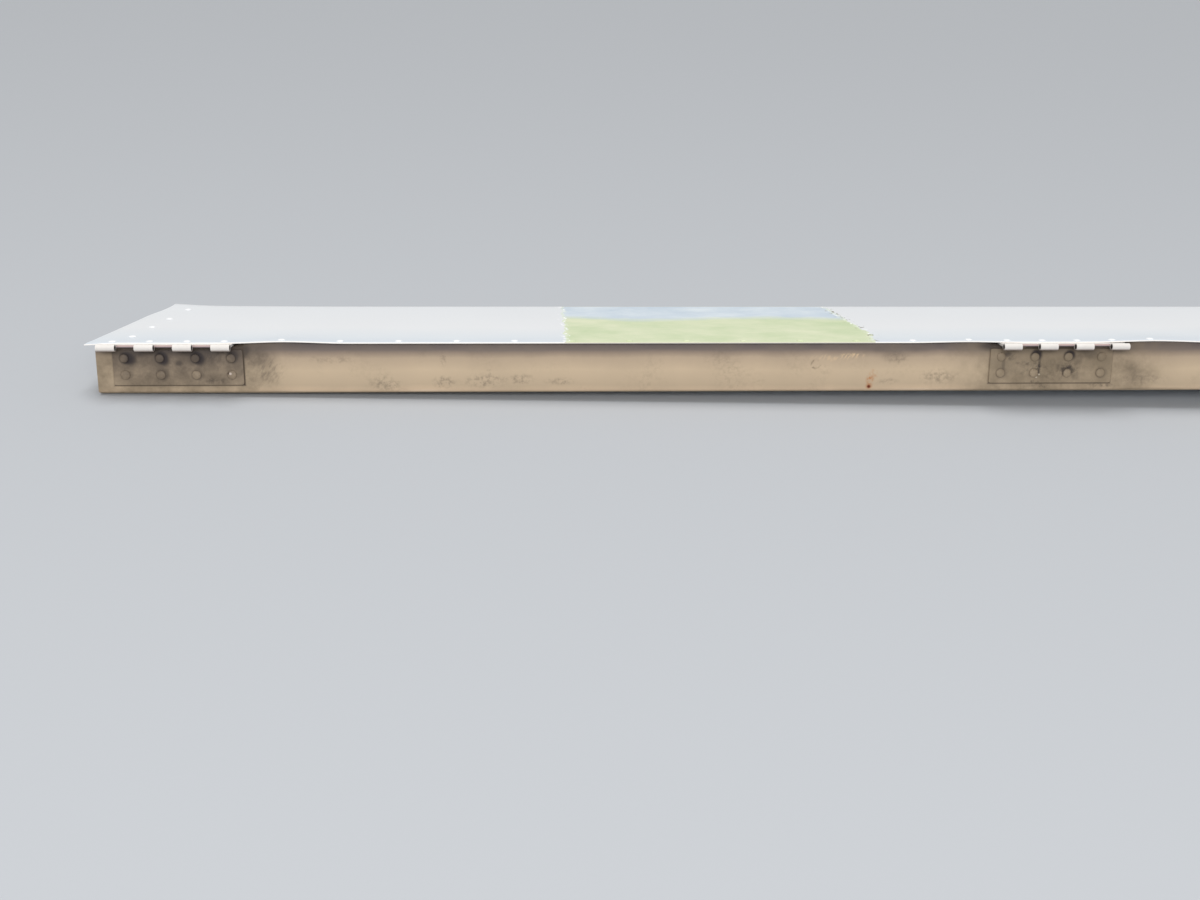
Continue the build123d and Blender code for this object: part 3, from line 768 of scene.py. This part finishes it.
# Satin two-part white, sprayed over primer: faint orange peel and soft clouding. Mid-
# span it has been masked with tape and rubbed back, which leaves ragged edges, mottled
# dull green primer in front and a band of blue-grey filler primer behind.
def white_paint(name, stops):
    """White paint with a ramp of colours aft along the skin, rubbed back mid-span."""
    made, tree, shader = new_material(name)
    place, x, u, n = coordinates(tree)
    # Clouds of about 90 mm, which also shake the bands of colour aft along the skin
    clouds = add(
        tree, "TexNoise", {"Vector": place, "Scale": 1 / 0.09, "Detail": 4.0, "Roughness": 0.6}
    )
    shaken = add(tree, "Math", {0: clouds, 1: 0.16, 2: -0.08}, operation="MULTIPLY_ADD")
    shaken = add(tree, "Math", {0: u, 1: 5.0, 2: shaken}, operation="MULTIPLY_ADD")
    base = add(tree, "ValToRGB", {0: shaken}, stops=stops)
    gloss = add(tree, "MapRange", {"Value": clouds, "To Min": 0.34, "To Max": 0.44})
    upper = add(tree, "Math", {0: n, 1: leaf + 0.0003}, operation="GREATER_THAN")
    # Torn tape edges, with teeth up to 4 mm deep and some 10 mm apart. The right one bows
    patch_left, right_front, right_aft = -0.3380, -0.1265, -0.1190
    stretched = add(tree, "Math", {0: u, 1: 0.3}, operation="MULTIPLY")
    torn = add(tree, "CombineXYZ", {0: x, 1: stretched})
    teeth = add(
        tree, "TexNoise", {"Vector": torn, "Scale": 1 / 0.0045, "Detail": 2.0, "Roughness": 0.8}
    )
    edge = add(tree, "Math", {0: teeth, 1: 0.0095, 2: x}, operation="MULTIPLY_ADD")
    start = add(tree, "Math", {0: edge, 1: patch_left}, operation="SUBTRACT")
    bowed = {"From Min": 0.0, "From Max": 0.055, "To Min": right_front, "To Max": right_aft}
    bow = add(tree, "MapRange", {"Value": u, **bowed}, interpolation_type="SMOOTHSTEP")
    end = add(tree, "Math", {0: bow, 1: edge}, operation="SUBTRACT")
    inside = add(tree, "Math", {0: start, 1: end}, operation="MINIMUM")
    rubbed = add(tree, "Math", {0: inside, 1: 0.0}, operation="GREATER_THAN")
    rubbed = add(tree, "Math", {0: rubbed, 1: upper}, operation="MULTIPLY")
    # The green ends and the filler begins about 125 mm aft, along a wandering line
    wander = add(
        tree, "TexNoise", {"Vector": place, "Scale": 1 / 0.07, "Detail": 5.0, "Roughness": 0.55}
    )
    border = add(tree, "Math", {0: wander, 1: 0.06, 2: 0.096}, operation="MULTIPLY_ADD")
    behind = add(tree, "Math", {0: u, 1: border}, operation="SUBTRACT")
    filler = add(tree, "MapRange", {"Value": behind, "From Min": -0.012, "From Max": 0.014})
    mottle = add(
        tree, "TexNoise", {"Vector": place, "Scale": 1 / 0.035, "Detail": 6.0, "Roughness": 0.62}
    )
    mottle = add(tree, "MapRange", {"Value": mottle, "From Min": 0.3, "From Max": 0.7})
    green = {0: mottle, 6: colour("C6D4AB"), 7: colour("DEE2C2")}
    green = add(tree, "Mix", green, out=2, data_type="RGBA")
    grey = {0: mottle, 6: colour("C2CFDB"), 7: colour("DCE4E9")}
    grey = add(tree, "Mix", grey, out=2, data_type="RGBA")
    primer = add(tree, "Mix", {0: filler, 6: green, 7: grey}, out=2, data_type="RGBA")
    # Pale where the tape edge was feathered
    feather = add(
        tree,
        "MapRange",
        {"Value": inside, "From Min": 0.0005, "From Max": 0.0030, "To Min": 0.7, "To Max": 0.0},
    )
    faded = {0: feather, 6: primer, 7: colour("E4EBD6")}
    primer = add(tree, "Mix", faded, out=2, data_type="RGBA")
    base = add(tree, "Mix", {0: rubbed, 6: base, 7: primer}, out=2, data_type="RGBA")
    # Pale chips along the torn edges, and dark ones along the right one
    rim = add(tree, "Math", {0: inside}, operation="ABSOLUTE")
    rim = add(
        tree,
        "MapRange",
        {"Value": rim, "From Min": 0.0015, "From Max": 0.0050, "To Min": 1.0, "To Max": 0.0},
    )
    rim = add(tree, "Math", {0: rim, 1: upper}, operation="MULTIPLY")
    right = add(tree, "Math", {0: x, 1: -0.2}, operation="GREATER_THAN")
    for scale, code, where in ((0.0032, "FFFFFF", 1.0), (0.0027, "8C8878", right)):
        chips = add(tree, "TexNoise", {"Vector": torn, "Scale": 1 / scale, "Detail": 1.0})
        chips = add(tree, "MapRange", {"Value": chips, "From Min": 0.60, "From Max": 0.66})
        chips = add(tree, "Math", {0: chips, 1: rim}, operation="MULTIPLY")
        chips = add(tree, "Math", {0: chips, 1: where}, operation="MULTIPLY")
        base = add(tree, "Mix", {0: chips, 6: base, 7: colour(code)}, out=2, data_type="RGBA")
    gloss = add(tree, "Mix", {0: rubbed, 2: gloss, 3: 0.62}, data_type="FLOAT")
    # Painted highlight: the front and rear edges are lighter, as where they catch the light
    front_edge = add(tree, "Math", {0: u, 1: lip_u + 0.0005}, operation="LESS_THAN")
    rear_edge = add(tree, "Math", {0: u, 1: fold_u - 0.0008}, operation="GREATER_THAN")
    edge_highlight = {0: rubbed, 6: colour("FFFBF6"), 7: colour("DCD8C0")}
    edge_highlight = add(tree, "Mix", edge_highlight, out=2, data_type="RGBA")
    for highlit_edge in (front_edge, rear_edge):
        base = add(tree, "Mix", {0: highlit_edge, 6: base, 7: edge_highlight}, out=2, data_type="RGBA")
    # The lower side is tan with grime near the spar
    lower = add(tree, "Math", {0: n, 1: -0.0300}, operation="LESS_THAN")
    grime = add(
        tree,
        "MapRange",
        {"Value": u, "From Min": 0.012, "From Max": 0.030, "To Min": 1.0, "To Max": 0.3},
    )
    grime = add(tree, "Math", {0: lower, 1: grime}, operation="MULTIPLY")
    base = add(tree, "Mix", {0: grime, 6: base, 7: colour("A08F76")}, out=2, data_type="RGBA")
    tree.links.new(base, shader.inputs["Base Color"])
    tree.links.new(gloss, shader.inputs["Roughness"])
    shader.inputs["Specular IOR Level"].default_value = 0.3
    # Orange peel, about 1.5 mm across
    peel = add(tree, "TexNoise", {"Vector": place, "Scale": 1 / 0.0015, "Detail": 1.0})
    bump = add(tree, "Bump", {"Height": peel, "Strength": 0.25, "Distance": 0.00003})
    tree.links.new(bump, shader.inputs["Normal"])
    return made


skin.data.materials.append(
    white_paint(
        "satin_white_paint_rubbed_back",
        ((0.02, "DAE1E8"), (0.16, "E3E8EC"), (0.4, "ECEDEE"), (0.98, "E9EBED")),
    )
)

# Rivets
# Universal-head rivets of soft aluminium: a low dome with a short straight rim. The
# small ones hold the skin, and the large ones the doubler plates. Each wears the paint
# of what it holds, but the small ones' white is lighter than the skin's, a painted
# highlight on their domes.
highlit_rivet_white = white_paint("satin_white_paint", ((0.02, "F4F5F6"), (0.98, "F3F4F5")))


def rivet_head(radius, height):
    """A domed head at the origin, pointing up, with a short shank below."""
    bpy.ops.object.select_all(action="DESELECT")
    bpy.ops.mesh.primitive_circle_add(vertices=28, radius=radius, location=(0, 0, 0))
    bpy.ops.object.mode_set(mode="EDIT")
    bpy.ops.mesh.select_all(action="SELECT")
    # The dome's outline, in shares of its radius and height
    width, level = 1.0, 0.0
    for next_width, next_level in (
        (1.0, 0.25), (0.93, 0.42), (0.80, 0.60), (0.62, 0.77), (0.42, 0.90), (0.22, 0.975)
    ):
        bpy.ops.mesh.extrude_region_move(
            TRANSFORM_OT_translate={"value": (0, 0, (next_level - level) * height)}
        )
        bpy.ops.transform.resize(value=(next_width / width, next_width / width, 1))
        width, level = next_width, next_level
    bpy.ops.mesh.edge_face_add()
    # The shank, half as wide, which is sunk in the sheet
    pick(lambda p: p.z < hair)
    bpy.ops.mesh.extrude_region_move(TRANSFORM_OT_translate={"value": (0, 0, 0)})
    bpy.ops.transform.resize(value=(0.5, 0.5, 1))
    bpy.ops.mesh.extrude_region_move(TRANSFORM_OT_translate={"value": (0, 0, -0.0012)})
    bpy.ops.mesh.edge_face_add()
    pick(lambda p: True)
    bpy.ops.mesh.normals_make_consistent(inside=False)
    bpy.ops.object.mode_set(mode="OBJECT")
    bpy.ops.object.shade_smooth_by_angle(angle=radians(35))
    return bpy.context.object


def rivets(name, head, spots, paint, slot, *nodes):
    """Copies of one head as one piece; a spot is a point and the way its rivet points."""
    bpy.ops.object.select_all(action="DESELECT")
    for point, way in spots:
        copy = head.copy()
        copy.data = head.data.copy()
        bpy.context.collection.objects.link(copy)
        turn = Vector((0, 0, 1)).rotation_difference(Vector(way)).to_matrix().to_4x4()
        copy.data.transform(Matrix.Translation(point) @ turn)
        copy.select_set(True)
    bpy.context.view_layer.objects.active = copy
    bpy.ops.object.join()
    copy.name = name
    copy.data.materials.append(paint)
    finish(copy, slot, *nodes)


def on_skin(x, u):
    """The spot and direction of a rivet on the upper skin, as the skin is bent there."""
    _, point, way, _ = skin.ray_cast(along(x, u, 0.02), -square)
    return point, way


small = rivet_head(radius=0.0025, height=0.0009)
large = rivet_head(radius=0.00315, height=0.00135)
down = (0, 0, -1)
floor_z = foot.z - sheet
front_row = face_u + 0.005
hinge_rivet_pitch = 0.0247
for side, place in zip(sides, hinge_places):
    spots = [on_skin(place + hinge_rivet_pitch * (i - 1.5), front_row) for i in range(4)]
    rivets("hinge_heads_" + side, small, spots, highlit_rivet_white, "skin_paint", "hinge_rivets_" + side)
# Thirteen in each bay between the hinges, on top
bay_start, bay_length = 0.064, 0.4704
bay = [bay_start + bay_length / 12 * i for i in range(13)]
spots = [on_skin(end * x, front_row) for end in (-1, 1) for x in bay]
rivets("upper_heads", small, spots, highlit_rivet_white, "skin_paint", "upper_skin_rivets")
row_pitch, row_setback = 0.0392, 0.0085
spots = [((row_pitch * i, foot.y + row_setback, floor_z), down) for i in range(-16, 17)]
rivets("lower_heads", small, spots, highlit_rivet_white, "skin_paint", "lower_skin_rivets")
rib_aft, rib_x = (0.0278, 0.0732, 0.1165, 0.1683), half_span - 0.0166
for side, x in (("left", -rib_x), ("right", rib_x)):
    spots = [on_skin(x, face_u + a) for a in rib_aft]
    spots += [((x, foot.y + a, floor_z), down) for a in rib_aft]
    rivets(side + "_end_heads", small, spots, highlit_rivet_white, "skin_paint", side + "_end_rib_rivets")
spots = [on_skin(horn_x, face_u + a) for a in rib_aft]
spots += [((horn_x, foot.y + a, floor_z), down) for a in rib_aft[1:]]
rivets("horn_rib_heads", small, spots, highlit_rivet_white, "skin_paint", "horn_rib_rivets")
# Four through the horn's base, which is 2.5 mm thick, at the corners of an oblong
horn_y, horn_z = foot.y + 0.038, floor_z - 0.0025
across, lengthwise = (-0.0055, 0.0055), (-0.011, 0.011)
spots = [((horn_x + i, horn_y + j, horn_z), down) for i in across for j in lengthwise]
rivets("horn_heads", small, spots, highlit_rivet_white, "skin_paint", "horn_rivets")
front, row_foot = face_u - plate_sheet, leaf - face_height
for side, place in zip(sides, plate_places):
    columns = [place + rivet_pitch * (i - 1.5) for i in range(4)]
    spots = [(along(x, front, row_foot + row), -aft) for x in columns for row in rivet_rows]
    paint, node = plate_paints[side], "doubler_rivets_" + side
    rivets("plate_heads_" + side, large, spots, paint, "spar_paint", node)
# Two through the spar's face hold the horn rib
spots = [(along(horn_x, face_u, row_foot + row), -aft) for row in rivet_rows]
rivets("horn_face_heads", large, spots, spar_finish, "spar_paint")
bpy.data.objects.remove(small)
bpy.data.objects.remove(large)

# Control horn
# Milled from aluminium and painted off-white, riveted under the horn rib. The satin
# paint gives it soft highlights and faint clouds.
horn_finish, tree, shader = new_material("satin_off_white_horn_paint")
place = add(tree, "TexCoord", {}, out=3)
clouds = add(
    tree, "TexNoise", {"Vector": place, "Scale": 1 / 0.012, "Detail": 5.0, "Roughness": 0.6}
)
clouded = {0: clouds, 6: colour("C9C4B9"), 7: colour("DEDBD4")}
base = add(tree, "Mix", clouded, out=2, data_type="RGBA")
tree.links.new(base, shader.inputs["Base Color"])
shader.inputs["Roughness"].default_value = 0.45
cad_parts["control_horn"].material_slots[0].material = horn_finish

# Bush
# Plain turned steel, pressed into the horn's eye: a dull grey metal. Its grain is drawn
# 1 mm wide, because real turning marks are too fine to show.
steel, tree, shader = new_material("turned_steel")
place = add(tree, "TexCoord", {}, out=3)
grain = add(tree, "TexNoise", {"Vector": place, "Scale": 1 / 0.001, "Detail": 3.0})
turned = {0: grain, 6: colour("8A8883"), 7: colour("A8A7A3")}
base = add(tree, "Mix", turned, out=2, data_type="RGBA")
tree.links.new(base, shader.inputs["Base Color"])
shader.inputs["Metallic"].default_value = 1.0
shader.inputs["Roughness"].default_value = 0.34
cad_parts["horn_bush"].material_slots[0].material = steel
